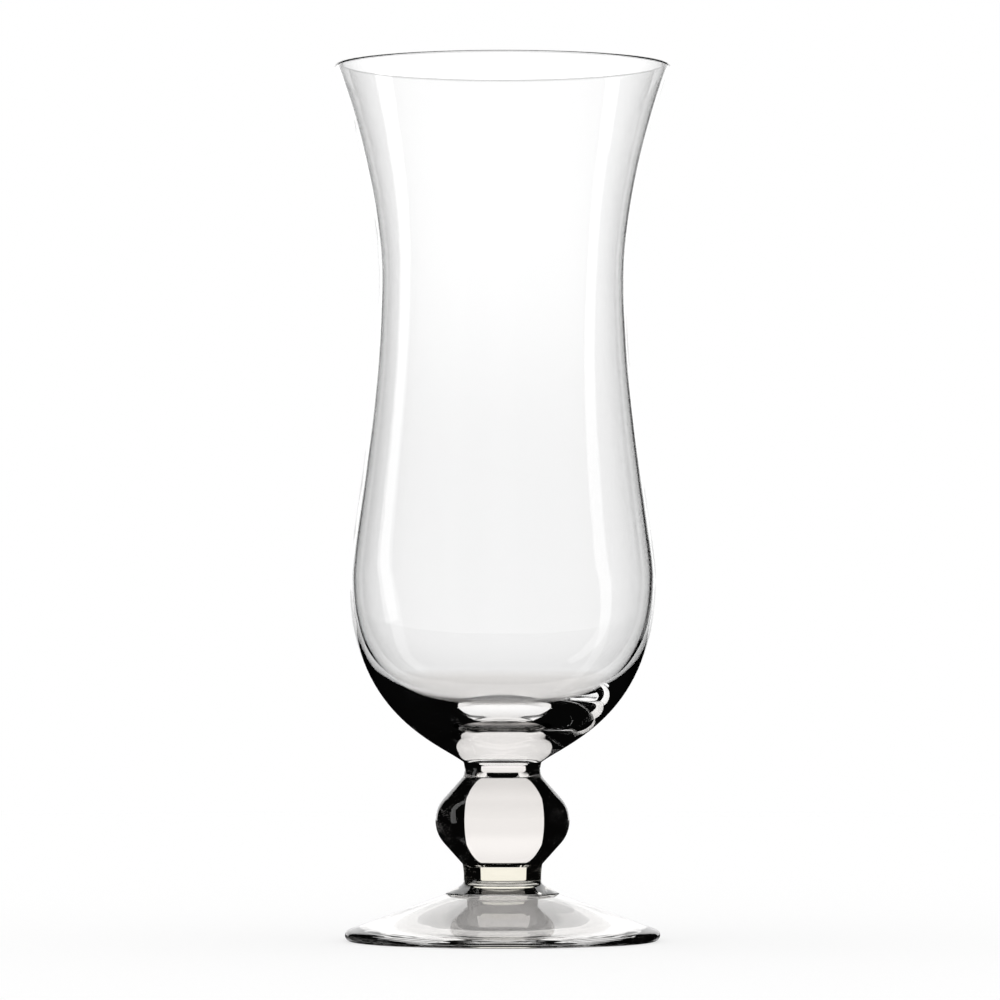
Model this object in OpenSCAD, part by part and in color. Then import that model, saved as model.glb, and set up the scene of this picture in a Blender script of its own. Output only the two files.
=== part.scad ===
// Hurricane glass: a tall waisted bowl on a short stem with a knop and a conical foot.
// Millimetres, +Z up, origin on the table at the centre of the foot.
// The five pieces stand on each other's flat seats, as hot glass is fused seam to seam.

/* [Bowl] */
// Diameter over the lip
rim_d = 79; // [76:0.5:84]
// Diameter at the waist
waist_d = 58.1; // [55:0.1:62]
// Diameter at the bulb
bulb_d = 72.2; // [69:0.1:76]
// Height of the bowl from its seat to the top of the lip
bowl_h = 164.1; // [155:0.1:175]
// Height of the bulb's widest ring above the seat
bulb_rise = 43.4; // [41:0.1:47]
// Height of the waist's narrowest ring above the seat
waist_rise = 113.1; // [106:0.1:120]
// Angle of the solid bottom's outside at the seat, from level
base_angle = 37; // [30:1:42]
// Angle of the wall at the lip, from upright
lip_angle = 22; // [12:1:26]
// Thickness of the wall at the lip, which is rounded over
lip_t = 1.1; // [0.9:0.05:1.6]
// Thickness of the wall at the waist
waist_t = 0.95; // [0.8:0.05:1.5]
// Thickness of the wall at the bulb
bulb_t = 1.45; // [1.1:0.05:2]
// Depth of solid glass under the inside
bottom_t = 10.7; // [9:0.1:13]
// Diameter of the flat middle of the inside
floor_d = 18; // [8:0.5:22]

/* [Stem] */
// Diameter of the seam between the bowl and the upper collar
bowl_seat_d = 18.3; // [18:0.1:20]
// Height of the upper collar
upper_collar_h = 3.5; // [2.5:0.1:6]
// Narrowest diameter of the upper collar
upper_neck_d = 17.8; // [15:0.1:18]
// Diameter of the knop's two flat ends
knop_end_d = 18.7; // [18:0.1:20]
// Height of the knop
knop_h = 20.4; // [18.4:0.1:24]
// Diameter over the knop's belly
knop_d = 31.5; // [28:0.1:34]
// Radius that rounds the belly, seen from the side
knop_round = 8; // [6:0.1:9]
// Height of the lower collar
lower_collar_h = 7; // [6.2:0.1:10]
// Narrowest diameter of the lower collar
lower_neck_d = 18.1; // [15:0.1:18.6]
// Height of the lower collar's narrowest ring above the foot
lower_neck_rise = 3.4; // [2.8:0.1:5]
// Diameter of the flange on the foot
flange_d = 26.6; // [24:0.1:30]
// Thickness of the flange at its edge
flange_t = 0.3; // [0.2:0.1:1.2]
// Angle of the flange's top, from level
flange_angle = 28; // [20:1:36]

/* [Foot] */
// Diameter of the foot
foot_d = 74; // [70:0.5:80]
// Height of the foot
foot_h = 11; // [10:0.1:13]
// Radius of the foot's rounded edge
foot_round = 1.3; // [1:0.1:1.8]
// Width of the flat ring that the glass stands on
ring_w = 2; // [1:0.1:5]
// Height of the hollow under the foot
hollow_h = 8.6; // [5:0.1:9.4]
// Diameter of the hollow's flat top
hollow_d = 12; // [4:0.5:20]
// Angle of the hollow's side at the ring, from level
hollow_angle = 18; // [14:1:24]

/* [Smoothness] */
// Stretches along each curve
steps = 20; // [12:1:32]

/* [Hidden] */
$fn = 96;
glass_colour = [0.87, 0.91, 0.91, 0.5];

// How far each end of a curve runs along its own direction, as shares of the curve's height
base_share = 0.173;
under_bulb_share = 0.742;
over_bulb_share = 0.115;
under_waist_share = 0.412;
over_waist_share = 0.392;
under_lip_share = 0.157;

// The inside of the solid bottom: how far it runs on level out of its flat middle, as a share of
// the way out to the bulb, and how upright it ends, as a share of the inside's height up to the bulb
floor_share = 0.55;
inner_bulb_share = 0.65;

// The flange's top: the same two shares of its height up to the neck
flange_share = 0.8;
under_neck_share = 0.5;

// The hollow's side: how far it runs out of the flat top and up from the ring, as shares of its width
hollow_top_share = 0.2;
hollow_side_share = 0.5;

// Heights of the seams above the table
lower_collar_z = foot_h;
knop_z = lower_collar_z + lower_collar_h;
upper_collar_z = knop_z + knop_h;
bowl_z = upper_collar_z + upper_collar_h;

// Where the rounded lip has its centre, above the bowl's seat
lip_centre = [(rim_d - lip_t) / 2, bowl_h - lip_t / 2];

// A step of the given length in a direction that leans the given angle out from upright
function lean(length, angle) = length * [sin(angle), cos(angle)];

// Points of the curve that leaves a towards b and reaches d from c, without a itself
function curve(a, b, c, d) = [
    for (i = [1 : steps])
        let (t = i / steps, s = 1 - t)
            s * s * s * a + 3 * s * s * t * b + 3 * s * t * t * c + t * t * t * d
];

// Points of an arc, both ends included
function arc(centre, radius, from, to) = [
    for (i = [0 : steps])
        let (angle = from + (to - from) * i / steps)
            centre + radius * [cos(angle), sin(angle)]
];

// Angle on a circle at which a straight line to the point outside and above it leaves the circle
function leaving_angle(centre, radius, point) =
    let (way = point - centre)
        atan2(way.y, way.x) - acos(radius / norm(way));

// Points of a side that is narrowest at the height rise and widens by the square of the way to each end
function waisted(low_r, neck_r, high_r, rise, height) = [
    for (i = [0 : steps])
        let (
            z = height * i / steps,
            end_r = z < rise ? low_r : high_r,
            end_z = z < rise ? 0 : height,
            way = (z - rise) / (end_z - rise)
        )
            [neck_r + (end_r - neck_r) * way * way, z]
];

// A turned solid from its half outline
module turned(outline) {
    color(glass_colour)
        rotate_extrude()
            polygon(outline);
}

// Wall of the bowl from the bulb up to the lip, for the outside or the inside
function wall(bulb, waist, lip) =
    let (
        low = waist.y - bulb.y,
        high = lip.y - waist.y
    )
        concat(
            curve(bulb, bulb + lean(over_bulb_share * low, 0),
                waist - lean(under_waist_share * low, 0), waist),
            curve(waist, waist + lean(over_waist_share * high, 0),
                lip - lean(under_lip_share * high, lip_angle), lip)
        );

// Points of a list from its last to its first
function reversed(points) = [for (i = [len(points) - 1 : -1 : 0]) points[i]];

// Bowl: thin wall with bulb, waist and flared lip over a solid bottom
module bowl() {
    seat = [bowl_seat_d / 2, 0];
    bulb = [bulb_d / 2, bulb_rise];
    waist = [waist_d / 2, waist_rise];
    inner_bulb = bulb - [bulb_t, 0];
    inner_waist = waist - [waist_t, 0];
    inner_floor = [floor_d / 2, bottom_t];
    lip_round = arc(lip_centre, lip_t / 2, -lip_angle, 180 - lip_angle);
    outside = concat(
        [[0, 0], seat],
        curve(seat, seat + lean(base_share * bulb_rise, 90 - base_angle),
            bulb - lean(under_bulb_share * bulb_rise, 0), bulb),
        wall(bulb, waist, lip_round[0])
    );
    inside = concat(
        [[0, bottom_t], inner_floor],
        curve(inner_floor, inner_floor + lean(floor_share * (inner_bulb.x - inner_floor.x), 90),
            inner_bulb - lean(inner_bulb_share * (bulb_rise - bottom_t), 0), inner_bulb),
        wall(inner_bulb, inner_waist, lip_round[steps])
    );
    lip = [for (i = [1 : steps - 1]) lip_round[i]];
    translate([0, 0, bowl_z])
        turned(concat(outside, lip, reversed(inside)));
}

// Upper collar: waisted button between the knop and the bowl
module upper_collar() {
    side = waisted(knop_end_d / 2, upper_neck_d / 2, bowl_seat_d / 2, upper_collar_h / 2, upper_collar_h);
    translate([0, 0, upper_collar_z])
        turned(concat([[0, 0]], side, [[0, upper_collar_h]]));
}

// Knop: two cones that meet in a rounded belly
module knop() {
    end = [knop_end_d, knop_h] / 2;
    centre = [knop_d / 2 - knop_round, 0];
    belly_angle = leaving_angle(centre, knop_round, end);
    belly = arc(centre, knop_round, -belly_angle, belly_angle);
    translate([0, 0, knop_z + knop_h / 2])
        turned(concat([[0, -end.y], [end.x, -end.y]], belly, [end, [0, end.y]]));
}

// Lower collar: neck that spreads into a flange on the foot
module lower_collar() {
    edge_round = flange_t / 2;
    edge_centre = [flange_d / 2 - edge_round, flange_t - edge_round];
    edge = arc(edge_centre, edge_round, 0, 90 - flange_angle);
    neck = [lower_neck_d / 2, lower_neck_rise];
    top_end = edge[steps];
    spread_h = neck.y - top_end.y;
    spread = curve(top_end, top_end + lean(flange_share * spread_h, flange_angle - 90),
        neck - lean(under_neck_share * spread_h, 0), neck);
    swell = waisted(neck.x, neck.x, knop_end_d / 2, 0, lower_collar_h - neck.y);
    translate([0, 0, lower_collar_z])
        turned(concat(
            [[0, 0], [flange_d / 2, 0]],
            edge,
            spread,
            [for (i = [1 : steps]) swell[i] + [0, neck.y]],
            [[0, lower_collar_h]]
        ));
}

// Foot: thin shallow cone with a rounded edge, a ring to stand on and a hollow under it
module foot() {
    top = [flange_d / 2, foot_h];
    edge_centre = [foot_d / 2 - foot_round, foot_round];
    edge = arc(edge_centre, foot_round, -90, leaving_angle(edge_centre, foot_round, top));
    ring = [edge_centre.x - ring_w, 0];
    hollow_top = [hollow_d / 2, hollow_h];
    side_w = ring.x - hollow_top.x;
    side = curve(hollow_top, hollow_top + lean(hollow_top_share * side_w, 90),
        ring + lean(hollow_side_share * side_w, hollow_angle - 90), ring);
    turned(concat([[0, hollow_h], hollow_top], side, edge, [top, [0, foot_h]]));
}

bowl();
upper_collar();
knop();
lower_collar();
foot();
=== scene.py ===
"""Hurricane glass in clear pressed and blown glass, on a plain white table in a bright-field studio."""

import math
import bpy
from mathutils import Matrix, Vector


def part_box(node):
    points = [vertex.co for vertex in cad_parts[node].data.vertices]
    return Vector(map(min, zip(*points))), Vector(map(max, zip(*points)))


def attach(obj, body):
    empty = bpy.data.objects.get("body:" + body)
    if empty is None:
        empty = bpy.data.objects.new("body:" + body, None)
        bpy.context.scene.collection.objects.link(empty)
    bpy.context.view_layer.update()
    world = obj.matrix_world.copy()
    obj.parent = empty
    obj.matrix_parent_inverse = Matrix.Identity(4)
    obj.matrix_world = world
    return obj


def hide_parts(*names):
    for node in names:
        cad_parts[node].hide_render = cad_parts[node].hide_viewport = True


bl_info = {
    "name": "Hurricane Glass",
    "version": (1, 0, 0),
    "blender": (4, 5, 0),
    "location": "View3D > Sidebar > Glass",
    "description": "Turns the five fused pieces of a hurricane glass and lights them on a white table",
    "category": "Object",
}

import bmesh
import bpy
from mathutils import Vector

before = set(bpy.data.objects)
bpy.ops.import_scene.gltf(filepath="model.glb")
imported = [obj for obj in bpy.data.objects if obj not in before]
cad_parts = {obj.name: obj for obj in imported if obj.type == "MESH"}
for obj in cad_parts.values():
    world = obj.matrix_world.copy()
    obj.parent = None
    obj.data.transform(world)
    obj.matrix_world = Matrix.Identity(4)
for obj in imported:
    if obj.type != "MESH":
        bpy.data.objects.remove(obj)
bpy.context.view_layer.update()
MM = 0.001
MICRON = 0.001 * MM
BODY = "root"
WHITE = "#FFFFFF"

# Turning: points this close become one, a face this close to a seam's height lies in the seam, a face whose normal
# has this share of upright is level, and an edge sharper than this stays sharp
WELD = 0.1 * MICRON
SEAM_REACH = 1 * MICRON
LEVEL_SHARE = 0.9999
CREASE = math.radians(30)
NO_SEAM = -1

# Camera: width of its sensor in millimetres, and the nearest and farthest that it sees, in metres
SENSOR = 36
CLIP = (0.05, 50)

# Table's painted reflection, which only the glass sees: the angle in radians on either side of the steep one over which
# it fades. Past the plain slant, where 1 is grazing, it is painted stronger: at which slant, and which share of what is
# left
STEEP_FADE = 0.07
SLANT_PLAIN = 0.5
SLANT_MORE = ((0.66, 0.15), (0.91, 0.82))

# Table: how far out from the hollow's edge its painted reflection is back to full past the painted shade under the
# foot, and how many times the near radius it is dark at
PAINTED_SHADE_FADE = 0.3 * MM
NEAR_FADE = 1.5

# Stretches along a quarter turn of the backdrop, whose last one is left out, and along the strip's bend
BACKDROP_STEPS = 8
STRIP_STEPS = 8


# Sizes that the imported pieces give
def width_of(node):
    """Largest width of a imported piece, in metres."""
    low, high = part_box(node)
    return high.x - low.x


def height_of(node):
    """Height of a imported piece, in metres."""
    low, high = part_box(node)
    return high.z - low.z


def length(name, text, default):
    """A property for a length in metres."""
    return bpy.props.FloatProperty(
        name=name, description=text, default=default, min=0.0, unit="LENGTH", precision=5
    )


def angle(name, text, degrees):
    """A property for an angle."""
    return bpy.props.FloatProperty(name=name, description=text, default=math.radians(degrees), unit="ROTATION")


def share(name, text, default):
    """A property for a share of some other size."""
    return bpy.props.FloatProperty(name=name, description=text, default=default, min=0.0, subtype="FACTOR")


def level(name, text, default):
    """A property for a plain number, such as the strength of a light, where 1 is white."""
    return bpy.props.FloatProperty(name=name, description=text, default=default, min=0.0)


class BowlSizes(bpy.types.PropertyGroup):
    """Sizes of the bowl."""

    rim_d: length("Lip", "Diameter over the lip", width_of("bowl"))
    waist_d: length("Waist", "Diameter at the waist", 58.1 * MM)
    bulb_d: length("Bulb", "Diameter at the bulb", 72.2 * MM)
    height: length("Height", "Height from the seat to the lip", height_of("bowl"))
    bulb_rise: length("Bulb rise", "Height of the bulb's widest ring above the seat", 43.4 * MM)
    waist_rise: length("Waist rise", "Height of the waist above the seat", 113.1 * MM)
    base_angle: angle("Base angle", "Angle of the solid bottom's outside at the seat, from level", 37)
    lip_angle: angle("Lip angle", "Angle of the wall at the lip, from upright", 22)
    lip_t: length("Lip wall", "Thickness of the wall at the lip", 1.1 * MM)
    waist_t: length("Waist wall", "Thickness of the wall at the waist", 0.95 * MM)
    bulb_t: length("Bulb wall", "Thickness of the wall at the bulb", 1.45 * MM)
    bottom_t: length("Bottom", "Depth of solid glass under the inside", 10.7 * MM)
    floor_d: length("Floor width", "Diameter of the flat middle of the inside", 18 * MM)
    base_share: share("Base curve", "Run of the outside's curve out of the seat", 0.173)
    under_bulb_share: share("Under bulb", "Run of the outside's curve up into the bulb", 0.742)
    over_bulb_share: share("Over bulb", "Run of the wall's curve up out of the bulb", 0.115)
    under_waist_share: share("Under waist", "Run of the wall's curve up into the waist", 0.412)
    over_waist_share: share("Over waist", "Run of the wall's curve up out of the waist", 0.392)
    under_lip_share: share("Under lip", "Run of the wall's curve up into the lip", 0.157)
    floor_share: share("Floor", "Run of the inside's curve over the solid bottom", 0.55)
    inner_bulb_share: share("Inner bulb", "Run of the inside's curve up into the bulb", 0.65)


class StemSizes(bpy.types.PropertyGroup):
    """Sizes of the two collars and the knop."""

    bowl_seat_d: length("Bowl seat", "Diameter of the seam between bowl and upper collar", 18.3 * MM)
    upper_neck_d: length("Upper neck", "Narrowest diameter of the upper collar", 17.8 * MM)
    knop_end_d: length("Knop ends", "Diameter of the knop's two flat ends", 18.7 * MM)
    knop_d: length("Knop", "Diameter over the knop's belly", width_of("knop"))
    knop_round: length("Knop round", "Radius that rounds the belly, seen from the side", 8 * MM)
    lower_neck_d: length("Lower neck", "Narrowest diameter of the lower collar", 18.1 * MM)
    lower_neck_rise: length("Lower neck rise", "Height of the lower collar's narrowest ring", 3.4 * MM)
    flange_d: length("Flange", "Diameter of the flange on the foot", width_of("lower_collar"))
    flange_t: length("Flange edge", "Thickness of the flange at its edge", 0.3 * MM)
    flange_angle: angle("Flange angle", "Angle of the flange's top, from level", 28)
    flange_share: share("Flange curve", "Run of the curve in from the flange's edge", 0.8)
    under_neck_share: share("Under neck", "Run of the curve up into the lower neck", 0.5)


class FootSizes(bpy.types.PropertyGroup):
    """Sizes of the foot."""

    foot_d: length("Foot", "Diameter of the foot", width_of("foot"))
    foot_round: length("Edge", "Radius of the foot's rounded edge", 1.3 * MM)
    ring_w: length("Ring", "Width of the flat ring that the glass stands on", 2 * MM)
    hollow_h: length("Hollow", "Height of the hollow under the foot", 8.6 * MM)
    hollow_d: length("Hollow top", "Diameter of the flat top of the hollow", 12 * MM)
    hollow_angle: angle("Hollow side", "Angle of the hollow's side at the ring, from level", 18)
    hollow_top_share: share("Hollow top curve", "Run of the hollow's curve out of its flat top", 0.2)
    hollow_side_share: share("Hollow side curve", "Run of the hollow's curve up from the ring", 0.5)


class Finish(bpy.types.PropertyGroup):
    """How fine the turned meshes are and what the glass is like."""

    around: bpy.props.IntProperty(name="Around", description="Faces round the axis", default=180, min=24)
    along: bpy.props.IntProperty(name="Along", description="Stretches along each curve", default=32, min=8)
    ior: bpy.props.FloatProperty(name="IOR", description="How strongly the glass bends light", default=1.52)
    wave_l: length("Wave length", "Size of the faint waves that the flame leaves in the skin", 14 * MM)
    wave_h: length("Wave height", "Height of the faint waves in the skin", 0.04 * MM)


class Studio(bpy.types.PropertyGroup):
    """Places and sizes of the camera, table, backdrop and softbox round the glass."""

    distance: length("Camera", "Distance from the camera to the glass", 1.471)
    eye_z: length("Eye", "Height of the camera", 0.0767)
    aim_z: length("Aim", "Height that the camera looks at", 0.1035)
    axis_px: level("Axis", "Column of the picture with the glass's axis", 502.5)
    frame_px: level("Picture", "Side of the picture in pixels", 1000)
    pixel: length("Pixel", "Size of one pixel at the glass", 0.23516 * MM)
    band: angle("Band", "Half the angle of the backdrop behind the glass", 26)
    back_r: length("Backdrop", "Distance from the glass to the backdrop", 0.95)
    bend_z: length("Backdrop bend", "Height at which the backdrop starts to curve over the glass", 0.9)
    band_shift: angle("Band shift", "How far round to the right the middle of the backdrop is", -1.5)
    # The table's painted reflection, which only the glass sees: its near radius, its strengths seen from the side and
    # from above, and the painted shade under the foot's hollow
    near_r: length("Near", "Radius of the table that the outside of the glass mirrors", 0.03)
    mirror: level("Mirror", "Share of the light that the table mirrors into the glass, seen from the side", 0.8)
    mirror_steep: share("Mirror steep", "Share of the light that the table mirrors, seen nearly from above", 0.04)
    steep: angle("Steep", "Angle from level past which the table mirrors little", 52)
    # Painted shade: the table's painted reflection is darker under the foot's hollow
    mirror_left_in_painted_shade: share("Mirror under", "Share of the table's mirroring that is left under the foot's hollow", 0.5)
    painted_shade_r: length("Under", "Radius of the table under the foot's hollow", 33.4 * MM)
    table_half: length("Table", "Half the side of the table", 4.0)
    drop: length("Drop", "Gap between the table and the glass, so that no two faces share a plane", 0.03 * MM)
    table_glow: share("Table glow", "Share of the table's light that comes up through it from below", 0.6)
    room: level("Room", "Strength of the dark room in the glass", 0.002)
    # The backdrop's strengths for the glass are painted light: how brightly it glows at each height, fading to the dark
    # room past its end
    backdrop_foot: level("Backdrop foot", "Strength of the backdrop up to the bulb, as the glass shows it", 1.08)
    backdrop_high: level("Backdrop high", "Strength of the backdrop just over the glass, as the glass shows it", 1.2)
    backdrop_mid: level("Backdrop middle", "Strength of the backdrop well over it, as the glass shows it", 1.12)
    backdrop_top: level("Backdrop top", "Strength of the backdrop near its top, as the glass shows it", 1.18)
    foot_z: length("Foot height", "Height up to which the backdrop keeps its foot's strength", 0.1)
    high_z: length("High height", "Height at which the backdrop has its strength just over the glass", 0.25)
    mid_z: length("Middle height", "Height at which the backdrop has its middle strength", 0.6)
    backdrop_fade: length("Backdrop fade", "Height over which the backdrop's light dies away", 0.2)
    backdrop_end: length("Backdrop end", "Height at which the backdrop's light has died away", 1.05)
    dark_z: length("Dark height", "Height past the backdrop's upper end", 2)
    strip_r: length("Strip", "Distance from the glass to the strip softbox", 0.35)
    strip_az: angle("Strip place", "How far round to the left the strip softbox stands", 76)
    strip_half: angle("Strip half", "Half the width of the strip softbox as an angle", 7)
    strip_high: length("Strip top", "Height of the strip softbox's upper end", 0.5)
    strip_turn: angle("Strip turn", "How much further round the strip's foot stands", 13)
    strip_bend: length("Strip bend", "Height up to which the strip leans over", 0.25)
    strip_power: level("Strip power", "Strength of the strip softbox", 1.3)


# Outlines
def v2(x, z):
    """A point of a half outline: how far out and how high."""
    return Vector((x, z))


def lean(run, tilt):
    """A step of the given length that leans the given angle out from upright."""
    return run * v2(math.sin(tilt), math.cos(tilt))


def curve(a, b, c, d, steps):
    """Points of the curve that leaves a towards b and reaches d from c, without a itself."""
    points = []
    for i in range(1, steps + 1):
        t = i / steps
        s = 1 - t
        points.append(s * s * s * a + 3 * s * s * t * b + 3 * s * t * t * c + t * t * t * d)
    return points


def arc(centre, radius, start, end, steps):
    """Points of an arc, both ends included."""
    turns = [start + (end - start) * i / steps for i in range(steps + 1)]
    return [centre + radius * v2(math.cos(t), math.sin(t)) for t in turns]


def leaving_angle(centre, radius, point):
    """Angle on a circle at which a straight line to the point above it leaves the circle."""
    way = point - centre
    return math.atan2(way.y, way.x) - math.acos(radius / way.length)


def waisted(low_r, neck_r, high_r, rise, height, steps):
    """Points of a side that is narrowest at the height rise."""
    points = []
    for i in range(steps + 1):
        z = height * i / steps
        end_r, end_z = (low_r, 0) if z < rise else (high_r, height)
        way = (z - rise) / (end_z - rise)
        points.append(v2(neck_r + (end_r - neck_r) * way * way, z))
    return points


def wall(s, bulb, waist, lip, steps):
    """Wall of the bowl from the bulb up to the lip, for the outside or the inside."""
    low = waist.y - bulb.y
    high = lip.y - waist.y
    over_bulb = bulb + lean(s.over_bulb_share * low, 0)
    under_waist = waist - lean(s.under_waist_share * low, 0)
    over_waist = waist + lean(s.over_waist_share * high, 0)
    under_lip = lip - lean(s.under_lip_share * high, s.lip_angle)
    return curve(bulb, over_bulb, under_waist, waist, steps) + curve(waist, over_waist, under_lip, lip, steps)


def bowl_outline(s, seat_d, steps):
    """Half outline of the bowl, from its seat up the outside, over the lip and down the inside."""
    seat = v2(seat_d / 2, 0)
    bulb = v2(s.bulb_d / 2, s.bulb_rise)
    waist = v2(s.waist_d / 2, s.waist_rise)
    inner_bulb = bulb - v2(s.bulb_t, 0)
    inner_waist = waist - v2(s.waist_t, 0)
    floor = v2(s.floor_d / 2, s.bottom_t)
    lip_centre = v2((s.rim_d - s.lip_t) / 2, s.height - s.lip_t / 2)
    lip = arc(lip_centre, s.lip_t / 2, -s.lip_angle, math.pi - s.lip_angle, steps)
    base = lean(s.base_share * s.bulb_rise, math.pi / 2 - s.base_angle)
    outside = curve(seat, seat + base, bulb - lean(s.under_bulb_share * s.bulb_rise, 0), bulb, steps)
    outside += wall(s, bulb, waist, lip[0], steps)
    inside = curve(
        floor,
        floor + v2(s.floor_share * (inner_bulb.x - floor.x), 0),
        inner_bulb - lean(s.inner_bulb_share * (s.bulb_rise - s.bottom_t), 0),
        inner_bulb,
        steps,
    )
    inside += wall(s, inner_bulb, inner_waist, lip[-1], steps)
    return [v2(0, 0), seat] + outside + lip[1:-1] + inside[::-1] + [floor, v2(0, s.bottom_t)]


def upper_collar_outline(s, height, steps):
    """Half outline of the upper collar, from its lower seam up."""
    side = waisted(s.knop_end_d / 2, s.upper_neck_d / 2, s.bowl_seat_d / 2, height / 2, height, steps)
    return [v2(0, 0)] + side + [v2(0, height)]


def knop_outline(s, height, steps):
    """Half outline of the knop, from its lower seam up."""
    end = v2(s.knop_end_d, height) / 2
    centre = v2(s.knop_d / 2 - s.knop_round, 0)
    turn = leaving_angle(centre, s.knop_round, end)
    belly = arc(centre, s.knop_round, -turn, turn, steps)
    half = [v2(0, -end.y), v2(end.x, -end.y)] + belly + [end, v2(0, end.y)]
    return [p + v2(0, end.y) for p in half]


def lower_collar_outline(s, height, steps):
    """Half outline of the lower collar, from the foot up."""
    edge_round = s.flange_t / 2
    edge_centre = v2(s.flange_d / 2 - edge_round, edge_round)
    edge = arc(edge_centre, edge_round, 0, math.pi / 2 - s.flange_angle, steps)
    neck = v2(s.lower_neck_d / 2, s.lower_neck_rise)
    spread_h = neck.y - edge[-1].y
    spread = curve(
        edge[-1],
        edge[-1] + lean(s.flange_share * spread_h, s.flange_angle - math.pi / 2),
        neck - lean(s.under_neck_share * spread_h, 0),
        neck,
        steps,
    )
    swell = waisted(neck.x, neck.x, s.knop_end_d / 2, 0, height - neck.y, steps)
    swell = [p + v2(0, neck.y) for p in swell[1:]]
    return [v2(0, 0), v2(s.flange_d / 2, 0)] + edge + spread + swell + [v2(0, height)]


def foot_outline(s, flange_d, height, steps):
    """Half outline of the foot, from the hollow's middle out over the edge and up."""
    top = v2(flange_d / 2, height)
    edge_centre = v2(s.foot_d / 2 - s.foot_round, s.foot_round)
    edge = arc(edge_centre, s.foot_round, -math.pi / 2, leaving_angle(edge_centre, s.foot_round, top), steps)
    ring_r = edge_centre.x - s.ring_w
    top_edge = v2(s.hollow_d / 2, s.hollow_h)
    side_w = ring_r - top_edge.x
    ring = v2(ring_r, 0)
    dome = curve(
        top_edge,
        top_edge + v2(s.hollow_top_share * side_w, 0),
        ring + lean(s.hollow_side_share * side_w, s.hollow_angle - math.pi / 2),
        ring,
        steps,
    )
    return [v2(0, s.hollow_h), top_edge] + dome + edge + [top, v2(0, height)]


# Materials
def put(nodes, links, kind, settings=None, **wires):
    """Adds a node, sets its own settings and its sockets' values, and links the sockets that are given as wires."""
    node = nodes.new(kind)
    for key, value in (settings or {}).items():
        if hasattr(node, key):
            setattr(node, key, value)
        else:
            node.inputs[key].default_value = value
    for key, source in wires.items():
        links.new(source, node.inputs[key.replace("_", " ")])
    return node


def linear(code):
    """An sRGB hex colour as linear red, green and blue, with full alpha."""
    parts = [int(code[i : i + 2], 16) / 255 for i in (1, 3, 5)]
    return tuple(c / 12.92 if c <= 0.04045 else ((c + 0.055) / 1.055) ** 2.4 for c in parts) + (1.0,)


def new_material(name):
    """An empty node material: its nodes and links, and its output node."""
    material = bpy.data.materials.new(name)
    material.use_nodes = True
    nodes, links = material.node_tree.nodes, material.node_tree.links
    nodes.clear()
    return material, nodes, links


def colours(nodes, links, value, stops):
    """A colour that follows the stops: at which value, which sRGB colour."""
    low, high = stops[0][0], stops[-1][0]
    shift = put(nodes, links, "ShaderNodeMapRange", {"From Min": low, "From Max": high}, Value=value)
    node = put(nodes, links, "ShaderNodeValToRGB", Fac=shift.outputs[0])
    elements = node.color_ramp.elements
    while len(elements) < len(stops):
        elements.new(0.5)
    for element, (at, code) in zip(elements, stops):
        element.position = (at - low) / (high - low)
        element.color = linear(code)
    return node.outputs["Color"]


# Colour of the light that comes through, at heights in metres above the table: the thick stem takes a little of it
TINTS = (
    (0.000, "#FAF9F8"),
    (0.011, "#FAF8F6"),
    (0.013, "#F9F5E6"),
    (0.017, "#F6F1E2"),
    (0.019, "#F0ECE9"),
    (0.037, "#F0ECE9"),
    (0.0565, "#F0EEEC"),
    (0.058, "#FFFFFF"),
)


def glass_material(finish):
    """Clear soda-lime glass, pressed and blown, and then fire polished.

    The flame melts the skin smooth, so it mirrors sharply, and leaves it very slightly wavy. The thin wall looks
    colourless, and the thick stem takes a little of the light, which leaves it a warm grey.
    """
    material, nodes, links = new_material("Fire-polished soda-lime glass")
    place = put(nodes, links, "ShaderNodeTexCoord").outputs["Object"]
    height = put(nodes, links, "ShaderNodeSeparateXYZ", Vector=place).outputs["Z"]
    wave = put(
        nodes, links, "ShaderNodeTexNoise",
        {"Scale": 1 / finish.wave_l, "Detail": 1.0, "Roughness": 0.4}, Vector=place,
    )
    relief = put(
        nodes, links, "ShaderNodeBump", {"Strength": 1.0, "Distance": finish.wave_h}, Height=wave.outputs[0]
    )
    shader = put(
        nodes, links, "ShaderNodeBsdfPrincipled",
        {"IOR": finish.ior, "Roughness": 0.0, "Transmission Weight": 1.0},
        Base_Color=colours(nodes, links, height, TINTS),
        Normal=relief.outputs[0],
    )
    put(nodes, links, "ShaderNodeOutputMaterial", Surface=shader.outputs[0])
    return material


def seam_material():
    """Where two pieces were fused while hot: nothing is left to see there, so light passes straight through."""
    material, nodes, links = new_material("Fused seam")
    shader = put(nodes, links, "ShaderNodeBsdfTransparent", {"Color": linear(WHITE)})
    put(nodes, links, "ShaderNodeOutputMaterial", Surface=shader.outputs[0])
    return material


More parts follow.
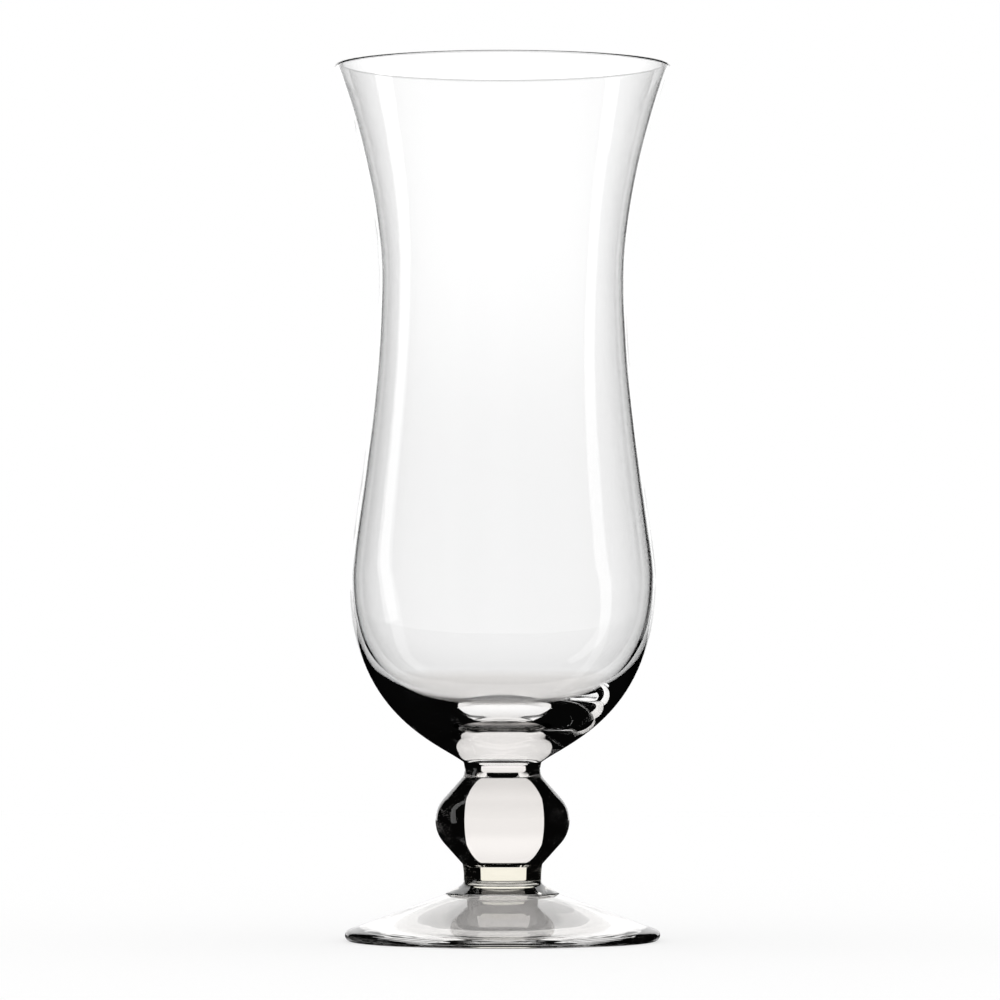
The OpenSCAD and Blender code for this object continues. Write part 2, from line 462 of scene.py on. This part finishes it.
# Turning
def turning_tree():
    """Geometry nodes that turn an outline about the upright axis and give the seams their own material."""
    tree = bpy.data.node_groups.new("Turned on the axis", "GeometryNodeTree")
    face = tree.interface
    face.new_socket("Outline", in_out="INPUT", socket_type="NodeSocketGeometry")
    face.new_socket("Around", in_out="INPUT", socket_type="NodeSocketInt")
    face.new_socket("Lower Seam", in_out="INPUT", socket_type="NodeSocketFloat")
    face.new_socket("Upper Seam", in_out="INPUT", socket_type="NodeSocketFloat")
    face.new_socket("Glass", in_out="INPUT", socket_type="NodeSocketMaterial")
    face.new_socket("Seam", in_out="INPUT", socket_type="NodeSocketMaterial")
    face.new_socket("Piece", in_out="OUTPUT", socket_type="NodeSocketGeometry")
    nodes, links = tree.nodes, tree.links
    given = nodes.new("NodeGroupInput").outputs

    def number(operation, a, b):
        """The result of one sum, from two numbers or sockets."""
        node = put(nodes, links, "ShaderNodeMath", {"operation": operation})
        for socket, value in zip(node.inputs, (a, b)):
            if isinstance(value, (int, float)):
                socket.default_value = value
            else:
                links.new(value, socket)
        return node.outputs[0]

    size = put(nodes, links, "GeometryNodeAttributeDomainSize", {"component": "CURVE"}, Geometry=given["Outline"])
    count = size.outputs["Point Count"]
    across = number("ADD", given["Around"], 1)
    grid = put(nodes, links, "GeometryNodeMeshGrid", Vertices_X=count, Vertices_Y=across)
    index = nodes.new("GeometryNodeInputIndex").outputs[0]
    along = number("FLOOR", number("DIVIDE", index, across), 0)
    turn = number("DIVIDE", number("MODULO", index, across), given["Around"])
    turn = number("MULTIPLY", turn, math.tau)
    place = nodes.new("GeometryNodeInputPosition").outputs[0]
    sample = put(
        nodes, links, "GeometryNodeSampleIndex", {"data_type": "FLOAT_VECTOR", "domain": "POINT"},
        Geometry=given["Outline"], Value=place, Index=along,
    )
    spun = put(
        nodes, links, "ShaderNodeVectorRotate", {"rotation_type": "Z_AXIS"}, Vector=sample.outputs[0], Angle=turn
    )
    placed = put(
        nodes, links, "GeometryNodeSetPosition", Geometry=grid.outputs["Mesh"], Position=spun.outputs[0]
    )
    merged = put(nodes, links, "GeometryNodeMergeByDistance", {"Distance": WELD}, Geometry=placed.outputs[0])
    smooth = put(nodes, links, "GeometryNodeSetShadeSmooth", Geometry=merged.outputs[0])
    glass = put(nodes, links, "GeometryNodeSetMaterial", Geometry=smooth.outputs[0], Material=given["Glass"])
    up = put(nodes, links, "ShaderNodeSeparateXYZ", Vector=nodes.new("GeometryNodeInputNormal").outputs[0])
    flat = number("GREATER_THAN", number("ABSOLUTE", up.outputs["Z"], 0), LEVEL_SHARE)
    high = put(nodes, links, "ShaderNodeSeparateXYZ", Vector=place).outputs["Z"]
    near = []
    for name in ("Lower Seam", "Upper Seam"):
        gap = number("ABSOLUTE", number("SUBTRACT", high, given[name]), 0)
        near.append(number("LESS_THAN", gap, SEAM_REACH))
    seam = number("MULTIPLY", flat, number("ADD", near[0], near[1]))
    sealed = put(
        nodes, links, "GeometryNodeSetMaterial",
        Geometry=glass.outputs[0], Selection=seam, Material=given["Seam"],
    )
    real = put(nodes, links, "GeometryNodeRealizeInstances", Geometry=sealed.outputs[0])
    put(nodes, links, "NodeGroupOutput", Piece=real.outputs[0])
    return tree


def turn_piece(name, outline, base_z, seams):
    """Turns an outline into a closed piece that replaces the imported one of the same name."""
    finish = bpy.context.scene.glass_finish
    line = bpy.data.curves.new(name + "_outline", "CURVE")
    line.dimensions = "3D"
    spline = line.splines.new("POLY")
    spline.points.add(len(outline) - 1)
    for point, place in zip(spline.points, outline):
        point.co = (place.x, 0, base_z + place.y, 1)
    source = bpy.data.objects.new(name + "_outline", line)
    bpy.context.scene.collection.objects.link(source)
    tree = bpy.data.node_groups.get("Turned on the axis") or turning_tree()
    modifier = source.modifiers.new("Turned", "NODES")
    modifier.node_group = tree
    glass = bpy.data.materials.get("Fire-polished soda-lime glass") or glass_material(finish)
    seam = bpy.data.materials.get("Fused seam") or seam_material()
    values = {
        "Around": finish.around, "Lower Seam": seams[0], "Upper Seam": seams[1], "Glass": glass, "Seam": seam,
    }
    for item in tree.interface.items_tree:
        if item.in_out == "INPUT" and item.name in values:
            modifier[item.identifier] = values[item.name]
    deps = bpy.context.evaluated_depsgraph_get()
    turned = source.evaluated_get(deps)
    mesh = bpy.data.meshes.new_from_object(turned, preserve_all_data_layers=True, depsgraph=deps)
    bpy.data.objects.remove(source)
    # The grid that the tree starts from can leave an empty slot in front of the glass
    if mesh.materials[0] is None:
        mesh.materials.pop(index=0)
    mesh.name = name
    piece = bpy.data.objects.new(name + "_glass", mesh)
    bpy.context.scene.collection.objects.link(piece)
    face_outwards(mesh)
    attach(piece, BODY)
    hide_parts(name)
    return piece


def face_outwards(mesh):
    """Points every face outwards, and checks that the piece is closed."""
    work = bmesh.new()
    work.from_mesh(mesh)
    bmesh.ops.recalc_face_normals(work, faces=work.faces)
    if work.calc_volume(signed=True) < 0:
        bmesh.ops.reverse_faces(work, faces=work.faces)
    loose = [e for e in work.edges if not e.is_manifold]
    if loose:
        raise RuntimeError(f"{mesh.name} has {len(loose)} open edges")
    for edge in work.edges:
        edge.smooth = edge.calc_face_angle(0) < CREASE
    work.to_mesh(mesh)
    work.free()


class GLASS_OT_bowl(bpy.types.Operator):
    """Turn the bowl"""

    bl_idname = "glass.bowl"
    bl_label = "Bowl"

    def execute(self, context):
        scene = context.scene
        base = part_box("bowl")[0].z
        outline = bowl_outline(scene.glass_bowl, scene.glass_stem.bowl_seat_d, scene.glass_finish.along)
        turn_piece("bowl", outline, base, (base, NO_SEAM))
        return {"FINISHED"}


class GLASS_OT_upper_collar(bpy.types.Operator):
    """Turn the collar under the bowl"""

    bl_idname = "glass.upper_collar"
    bl_label = "Upper collar"

    def execute(self, context):
        scene = context.scene
        low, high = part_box("upper_collar")
        outline = upper_collar_outline(scene.glass_stem, high.z - low.z, scene.glass_finish.along)
        turn_piece("upper_collar", outline, low.z, (low.z, high.z))
        return {"FINISHED"}


class GLASS_OT_knop(bpy.types.Operator):
    """Turn the knop"""

    bl_idname = "glass.knop"
    bl_label = "Knop"

    def execute(self, context):
        scene = context.scene
        low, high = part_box("knop")
        outline = knop_outline(scene.glass_stem, high.z - low.z, scene.glass_finish.along)
        turn_piece("knop", outline, low.z, (low.z, high.z))
        return {"FINISHED"}


class GLASS_OT_lower_collar(bpy.types.Operator):
    """Turn the collar with its flange"""

    bl_idname = "glass.lower_collar"
    bl_label = "Lower collar"

    def execute(self, context):
        scene = context.scene
        low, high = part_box("lower_collar")
        outline = lower_collar_outline(scene.glass_stem, high.z - low.z, scene.glass_finish.along)
        turn_piece("lower_collar", outline, low.z, (low.z, high.z))
        return {"FINISHED"}


class GLASS_OT_foot(bpy.types.Operator):
    """Turn the foot"""

    bl_idname = "glass.foot"
    bl_label = "Foot"

    def execute(self, context):
        scene = context.scene
        low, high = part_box("foot")
        outline = foot_outline(scene.glass_foot, scene.glass_stem.flange_d, high.z - low.z, scene.glass_finish.along)
        turn_piece("foot", outline, low.z, (NO_SEAM, high.z))
        return {"FINISHED"}


# Stage
def stage_object(name, mesh, material, rig=None):
    """A stage object with one material, which turns with the rig if one is given."""
    mesh.materials.append(material)
    thing = bpy.data.objects.new(name, mesh)
    bpy.context.scene.collection.objects.link(thing)
    thing.parent = rig
    return thing


def fan(name, profile, azimuths, material, rig):
    """A sheet spread over the given azimuths in degrees, with a profile of distance, height and added azimuth.

    Azimuth 0 is behind the glass as the camera sees it, and 90 is to its right.
    """
    points, faces = [], []
    for azimuth in azimuths:
        for r, z, more in profile:
            a = math.radians(azimuth + more)
            points.append((r * math.sin(a), r * math.cos(a), z))
    n = len(profile)
    for column in range(len(azimuths) - 1):
        for row in range(n - 1):
            i = column * n + row
            faces.append((i, i + n, i + n + 1, i + 1))
    mesh = bpy.data.meshes.new(name)
    mesh.from_pydata(points, [], faces)
    mesh.shade_smooth()
    return stage_object(name, mesh, material, rig)


def seen_in_glass(nodes, links):
    """1 for what is seen in or through the glass, and 0 for the camera's own view and for the light on the table."""
    path = nodes.new("ShaderNodeLightPath").outputs
    either = put(nodes, links, "ShaderNodeMath", {"operation": "MAXIMUM"})
    links.new(path["Is Glossy Ray"], either.inputs[0])
    links.new(path["Is Transmission Ray"], either.inputs[1])
    return either.outputs[0]


def mixed(nodes, links, amount, first, second):
    """The first shader, with the second over it by the given amount, which is a number or a socket."""
    mix = nodes.new("ShaderNodeMixShader")
    if isinstance(amount, float):
        mix.inputs[0].default_value = amount
    else:
        links.new(amount, mix.inputs[0])
    links.new(first.outputs[0], mix.inputs[1])
    links.new(second.outputs[0], mix.inputs[2])
    return mix


def swapped(nodes, links, plain, in_glass):
    """The plain shader, or the other one where it is seen in or through the glass."""
    return mixed(nodes, links, seen_in_glass(nodes, links), plain, in_glass).outputs[0]


def ramp(nodes, links, value, stops):
    """A number that follows the stops: at which value, how much."""
    node = nodes.new("ShaderNodeFloatCurve")
    low, high = stops[0][0], stops[-1][0]
    top = max(amount for _, amount in stops)
    points = node.mapping.curves[0].points
    places = [((at - low) / (high - low), amount / top) for at, amount in stops]
    while len(points) < len(places):
        points.new(0.5, 0.5)
    for point, place in zip(points, places):
        point.location = place
        point.handle_type = "AUTO_CLAMPED"
    node.mapping.update()
    shift = put(nodes, links, "ShaderNodeMapRange", {"From Min": low, "From Max": high}, Value=value)
    links.new(shift.outputs[0], node.inputs["Value"])
    scale = put(nodes, links, "ShaderNodeMath", {"operation": "MULTIPLY"})
    links.new(node.outputs[0], scale.inputs[0])
    scale.inputs[1].default_value = top
    return scale.outputs[0]


def table_material(s):
    """Cast opal acrylic, the top of a light table.

    To the eye it is an even milky white that glows a little from below. Glass standing on it shows a painted reflection
    of the backdrop that only the glass sees, weaker where the table is seen from above, and darkened by painted shade
    under the foot's hollow.
    """
    material, nodes, links = new_material("Opal acrylic light table")
    matt = put(nodes, links, "ShaderNodeBsdfDiffuse", {"Color": linear(WHITE)})
    glow = put(nodes, links, "ShaderNodeEmission", {"Color": linear(WHITE), "Strength": 1.0})
    place = put(nodes, links, "ShaderNodeTexCoord").outputs["Object"]
    reach = put(nodes, links, "ShaderNodeVectorMath", {"operation": "LENGTH"})
    links.new(place, reach.inputs[0])
    out = reach.outputs["Value"]
    # Painted reflection: the glass's outside sees the table mirror within the near radius and dark past it
    near = ramp(nodes, links, out, ((0, 1), (s.near_r, 1), (NEAR_FADE * s.near_r, 0), (1, 0)))
    # Painted shade: the table's painted reflection is weaker out to the foot's hollow
    hollow = ((0, s.mirror_left_in_painted_shade), (s.painted_shade_r, s.mirror_left_in_painted_shade), (s.painted_shade_r + PAINTED_SHADE_FADE, 1), (1, 1))
    under = ramp(nodes, links, out, hollow)
    through = nodes.new("ShaderNodeLightPath").outputs["Is Transmission Ray"]
    lit = put(nodes, links, "ShaderNodeMath", {"operation": "MAXIMUM"})
    links.new(near, lit.inputs[0])
    links.new(through, lit.inputs[1])
    dark = put(nodes, links, "ShaderNodeEmission", {"Color": linear(WHITE), "Strength": s.room})
    slant = put(nodes, links, "ShaderNodeLayerWeight", {"Blend": 0.5}).outputs["Facing"]
    rest = 1 - s.mirror
    stops = [
        (0, s.mirror_steep),
        (1 - math.sin(s.steep + STEEP_FADE), s.mirror_steep),
        (1 - math.sin(s.steep - STEEP_FADE), s.mirror),
        (SLANT_PLAIN, s.mirror),
        *((at, s.mirror + more * rest) for at, more in SLANT_MORE),
        (1, 1),
    ]
    strength = put(nodes, links, "ShaderNodeMath", {"operation": "MULTIPLY"})
    links.new(ramp(nodes, links, slant, stops), strength.inputs[0])
    links.new(under, strength.inputs[1])
    # The painted reflection: a sharp mirror seen only in the glass, its strength painted by slant and by the painted
    # shade under the foot
    painted_reflection = put(nodes, links, "ShaderNodeBsdfAnisotropic", {"Roughness": 0.0}, Color=strength.outputs[0])
    plain = mixed(nodes, links, s.table_glow, matt, glow)
    in_glass = mixed(nodes, links, lit.outputs[0], dark, painted_reflection)
    put(nodes, links, "ShaderNodeOutputMaterial", Surface=swapped(nodes, links, plain, in_glass))
    return material


def backdrop_material(s):
    """Matt white background paper, which glows instead of being lit.

    To the eye it is plain white with no gloss. For the glass it glows with painted light, a little brighter towards its
    top. That painted light dies away over the glass, and that gives the dark lines where the glass turns far over.
    """
    material, nodes, links = new_material("Matt white background paper")
    plain = put(nodes, links, "ShaderNodeEmission", {"Color": linear(WHITE), "Strength": 1.0})
    place = put(nodes, links, "ShaderNodeTexCoord").outputs["Object"]
    height = put(nodes, links, "ShaderNodeSeparateXYZ", Vector=place).outputs["Z"]
    stops = (
        (0, s.backdrop_foot),
        (s.foot_z, s.backdrop_foot),
        (s.high_z, s.backdrop_high),
        (s.mid_z, s.backdrop_mid),
        (s.backdrop_end - s.backdrop_fade, s.backdrop_top),
        (s.backdrop_end, s.room),
        (s.dark_z, s.room),
    )
    # Painted light: the backdrop glows for the glass by height, brighter towards its top and dying away over the glass
    painted_backdrop_glow = ramp(nodes, links, height, stops)
    glow = put(nodes, links, "ShaderNodeEmission", {"Color": linear(WHITE)}, Strength=painted_backdrop_glow)
    put(nodes, links, "ShaderNodeOutputMaterial", Surface=swapped(nodes, links, plain, glow))
    return material


def strip_material(strength):
    """Woven white nylon, the front of the strip softbox.

    The weave spreads the lamp's light evenly, and its threads are far too fine to see from the glass, so the glass
    shows two smooth white bands.
    """
    material, nodes, links = new_material("Woven white nylon")
    glow = put(nodes, links, "ShaderNodeEmission", {"Color": linear(WHITE), "Strength": strength})
    put(nodes, links, "ShaderNodeOutputMaterial", Surface=glow.outputs[0])
    return material


def span(middle, half, step=2.0):
    """Azimuths in degrees from one side of the middle to the other."""
    count = max(1, math.ceil(2 * half / step))
    return [middle - half + 2 * half * i / count for i in range(count + 1)]


class GLASS_OT_stage(bpy.types.Operator):
    """Lay the table, hang the backdrop, and set the softbox and the camera"""

    bl_idname = "glass.stage"
    bl_label = "Stage"

    def execute(self, context):
        scene = context.scene
        s = scene.glass_studio
        # Camera
        data = bpy.data.cameras.new("Camera")
        camera = bpy.data.objects.new("Camera", data)
        scene.collection.objects.link(camera)
        scene.camera = camera
        off = (s.axis_px - s.frame_px / 2) * s.pixel
        eye = Vector((-off, -s.distance, s.eye_z))
        aim = Vector((-off, 0, s.aim_z))
        camera.location = eye
        camera.rotation_mode = "QUATERNION"
        camera.rotation_quaternion = (aim - eye).to_track_quat("-Z", "Y")
        data.sensor_width = SENSOR
        data.lens = data.sensor_width / 2 * (aim - eye).length / (s.frame_px / 2 * s.pixel)
        data.clip_start, data.clip_end = CLIP
        # Rig
        rig = bpy.data.objects.new("Rig", None)
        scene.collection.objects.link(rig)
        follow = rig.constraints.new("LOCKED_TRACK")
        follow.target = camera
        follow.track_axis = "TRACK_NEGATIVE_Y"
        follow.lock_axis = "LOCK_Z"
        # World
        world = bpy.data.worlds.new("Studio")
        scene.world = world
        world.use_nodes = True
        nodes, links = world.node_tree.nodes, world.node_tree.links
        nodes.clear()
        bright = put(nodes, links, "ShaderNodeBackground", {"Color": linear(WHITE), "Strength": 1.0})
        dark = put(nodes, links, "ShaderNodeBackground", {"Color": linear(WHITE), "Strength": s.room})
        put(nodes, links, "ShaderNodeOutputWorld", Surface=swapped(nodes, links, bright, dark))
        # Table and backdrop
        half = s.table_half
        corners = [(x, y, -s.drop) for x, y in ((-half, -half), (half, -half), (half, half), (-half, half))]
        mesh = bpy.data.meshes.new("Table")
        mesh.from_pydata(corners, [], [(0, 1, 2, 3)])
        stage_object("Table", mesh, table_material(s))
        edge = math.degrees(s.band)
        rise = [(s.back_r, -s.drop, 0), (s.back_r, s.bend_z, 0)]
        for i in range(1, BACKDROP_STEPS):
            t = i / BACKDROP_STEPS * math.pi / 2
            rise.append((s.back_r * math.cos(t), s.bend_z + s.back_r * math.sin(t), 0))
        fan("Backdrop", rise, span(math.degrees(s.band_shift), edge), backdrop_material(s), rig)
        # Strip softbox, which leans over at its foot
        bend = []
        for i in range(STRIP_STEPS + 1):
            up = i / STRIP_STEPS
            turn = -math.degrees(s.strip_turn) * (1 + math.cos(up * math.pi)) / 2
            bend.append((s.strip_r, up * s.strip_bend, turn))
        bend.append((s.strip_r, s.strip_high, 0))
        azimuths = span(-math.degrees(s.strip_az), math.degrees(s.strip_half))
        fan("Strip", bend, azimuths, strip_material(s.strip_power), rig)
        scene.view_settings.view_transform = "Standard"
        # Light crosses up to five solid pieces and is mirrored inside them, so it needs many bounces
        scene.cycles.max_bounces = 32
        scene.cycles.transmission_bounces = 32
        scene.cycles.glossy_bounces = 16
        scene.cycles.transparent_max_bounces = 32
        return {"FINISHED"}


class GLASS_PT_panel(bpy.types.Panel):
    """Buttons for every piece of the glass and its stage"""

    bl_label = "Hurricane Glass"
    bl_idname = "GLASS_PT_panel"
    bl_space_type = "VIEW_3D"
    bl_region_type = "UI"
    bl_category = "Glass"

    def draw(self, context):
        for step in STEPS:
            self.layout.operator(step.bl_idname)


GROUPS = {
    "glass_bowl": BowlSizes,
    "glass_stem": StemSizes,
    "glass_foot": FootSizes,
    "glass_finish": Finish,
    "glass_studio": Studio,
}
STEPS = (
    GLASS_OT_bowl,
    GLASS_OT_upper_collar,
    GLASS_OT_knop,
    GLASS_OT_lower_collar,
    GLASS_OT_foot,
    GLASS_OT_stage,
)


def register():
    """Registers the sizes, the steps and the panel."""
    for name, group in GROUPS.items():
        bpy.utils.register_class(group)
        setattr(bpy.types.Scene, name, bpy.props.PointerProperty(type=group))
    for step in STEPS + (GLASS_PT_panel,):
        bpy.utils.register_class(step)


def unregister():
    """Takes back everything that register adds."""
    for step in (GLASS_PT_panel,) + STEPS[::-1]:
        bpy.utils.unregister_class(step)
    for name, group in GROUPS.items():
        delattr(bpy.types.Scene, name)
        bpy.utils.unregister_class(group)


def main():
    """Makes the whole scene in order."""
    register()
    for step in STEPS:
        group, name = step.bl_idname.split(".")
        getattr(getattr(bpy.ops, group), name)()


if __name__ == "__main__":
    main()
